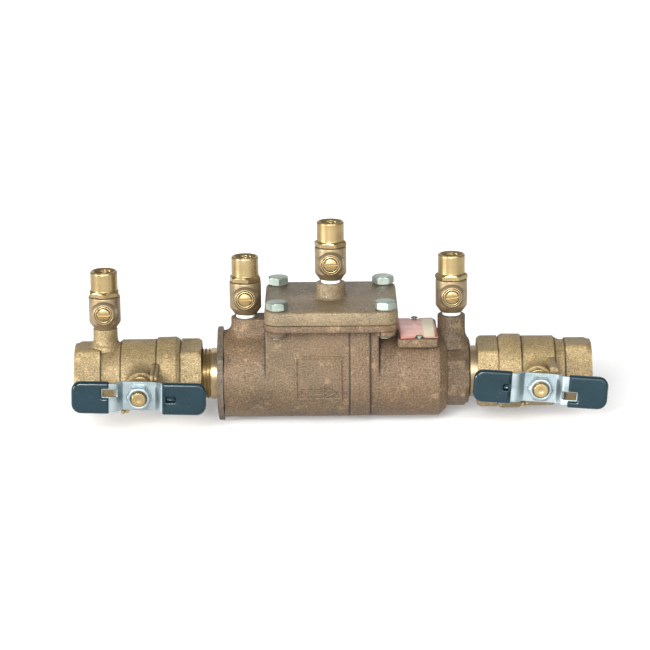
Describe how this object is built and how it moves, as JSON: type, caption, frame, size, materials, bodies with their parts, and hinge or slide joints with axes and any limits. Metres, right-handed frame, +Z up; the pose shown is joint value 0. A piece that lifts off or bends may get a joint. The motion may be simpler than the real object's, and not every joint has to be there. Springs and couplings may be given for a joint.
{
  "type": "backflow preventer",
  "caption": "Bronze double check backflow preventer with ball valves at both ends, slotted test cocks, a bolted square cover and vinyl-dipped tee handles.",
  "frame": {"origin": "centre of the inlet port face, on the pipe axis", "axes": "+X along the pipe, from inlet to outlet; +Z up through the cover; -Y along the valve stems, towards the handles"},
  "size_m": [0.3439, 0.1001, 0.1338],
  "materials": {
    "body_bronze": "sand-cast, dull",
    "valve_bronze": "sand-cast, blasted",
    "plug_bronze": "dull oxidised",
    "cock_bronze": "satin",
    "turned_brass": "turned, bright",
    "plated_steel": "zinc plated, satin",
    "zinc_steel": "zinc plated, dull",
    "blue_vinyl": "dipped, semi-gloss",
    "chromed_ball": "polished",
    "white_ptfe": "matt",
    "black_rubber": "matt",
    "black_plastic": "matt",
    "spring_steel": "bright drawn",
    "tag_metal": "printed, satin"
  },
  "bodies": {
    "casing": {"inlet_valve_body": "valve_bronze", "inlet_valve_adapter": "valve_bronze", "inlet_ball_seat_outer": "white_ptfe", "inlet_ball_seat_inner": "white_ptfe", "inlet_stem_packing": "white_ptfe", "inlet_gland_nut": "turned_brass", "outlet_valve_body": "valve_bronze", "outlet_valve_adapter": "valve_bronze", "outlet_ball_seat_outer": "white_ptfe", "outlet_ball_seat_inner": "white_ptfe", "outlet_stem_packing": "white_ptfe", "outlet_gland_nut": "turned_brass", "inlet_nipple": "turned_brass", "outlet_nipple": "turned_brass", "main_body": "body_bronze", "inlet_plug": "plug_bronze", "inlet_plug_seal": "black_rubber", "cover": "body_bronze", "cover_seal": "black_rubber", "cover_bolt_1": "zinc_steel", "cover_bolt_2": "zinc_steel", "cover_bolt_3": "zinc_steel", "cover_bolt_4": "zinc_steel", "check_1_seat": "turned_brass", "check_1_cage": "black_plastic", "check_1_spring": "spring_steel", "check_2_seat": "turned_brass", "check_2_cage": "black_plastic", "check_2_spring": "spring_steel", "name_tag": "tag_metal", "tag_screw_1": "zinc_steel", "tag_screw_2": "zinc_steel", "test_cock_1_body": "cock_bronze", "test_cock_1_barrel": "turned_brass", "test_cock_2_body": "cock_bronze", "test_cock_2_barrel": "turned_brass", "test_cock_3_body": "cock_bronze", "test_cock_3_barrel": "turned_brass", "test_cock_4_body": "cock_bronze", "test_cock_4_barrel": "turned_brass"},
    "inlet_shutoff": {"inlet_handle": "plated_steel", "inlet_grip_open_slot": "blue_vinyl", "inlet_grip_lined_slot": "blue_vinyl", "inlet_handle_nut": "plated_steel", "inlet_stem": "turned_brass", "inlet_ball": "chromed_ball"},
    "outlet_shutoff": {"outlet_handle": "plated_steel", "outlet_grip_open_slot": "blue_vinyl", "outlet_grip_lined_slot": "blue_vinyl", "outlet_handle_nut": "plated_steel", "outlet_stem": "turned_brass", "outlet_ball": "chromed_ball"},
    "check_1_poppet": {"check_1_poppet": "black_plastic", "check_1_disc": "black_rubber"},
    "check_2_poppet": {"check_2_poppet": "black_plastic", "check_2_disc": "black_rubber"},
    "test_cock_1_plug": {"test_cock_1_plug": "turned_brass"},
    "test_cock_2_plug": {"test_cock_2_plug": "turned_brass"},
    "test_cock_3_plug": {"test_cock_3_plug": "turned_brass"},
    "test_cock_4_plug": {"test_cock_4_plug": "turned_brass"}
  },
  "joints": [
    {"name": "inlet_handle_turn", "type": "hinge", "parent": "casing", "child": "inlet_shutoff", "pos_m": [0.0441, -0.02999, -0.00078], "axis": [0, 0.9997, 0.0262], "range_deg": [-1.6, 88.4]},
    {"name": "outlet_handle_turn", "type": "hinge", "parent": "casing", "child": "outlet_shutoff", "pos_m": [0.3007, -0.02998, 0.0011], "axis": [0, 0.9993, -0.0366], "range_deg": [-4.4, 85.6]},
    {"name": "check_1_lift", "type": "slide", "parent": "casing", "child": "check_1_poppet", "axis": [1, 0, 0], "range_m": [0, 0.008], "stiffness_N_per_m": 500, "springref_m": -0.014, "deforming": ["check_1_spring"]},
    {"name": "check_2_lift", "type": "slide", "parent": "casing", "child": "check_2_poppet", "axis": [1, 0, 0], "range_m": [0, 0.008], "stiffness_N_per_m": 500, "springref_m": -0.014, "deforming": ["check_2_spring"]},
    {"name": "test_cock_1_turn", "type": "hinge", "parent": "casing", "child": "test_cock_1_plug", "pos_m": [0.02, -0.00115, 0.04389], "axis": [0, -0.9997, -0.0262], "range_deg": [0, 90]},
    {"name": "test_cock_2_turn", "type": "hinge", "parent": "casing", "child": "test_cock_2_plug", "pos_m": [0.1118, 0, 0.0525], "axis": [0, -1, 0], "range_deg": [0, 90]},
    {"name": "test_cock_3_turn", "type": "hinge", "parent": "casing", "child": "test_cock_3_plug", "pos_m": [0.1675, 0, 0.0751], "axis": [0, -1, 0], "range_deg": [0, 90]},
    {"name": "test_cock_4_turn", "type": "hinge", "parent": "casing", "child": "test_cock_4_plug", "pos_m": [0.246, 0, 0.0528], "axis": [0, -1, 0], "range_deg": [-8, 82]}
  ]
}
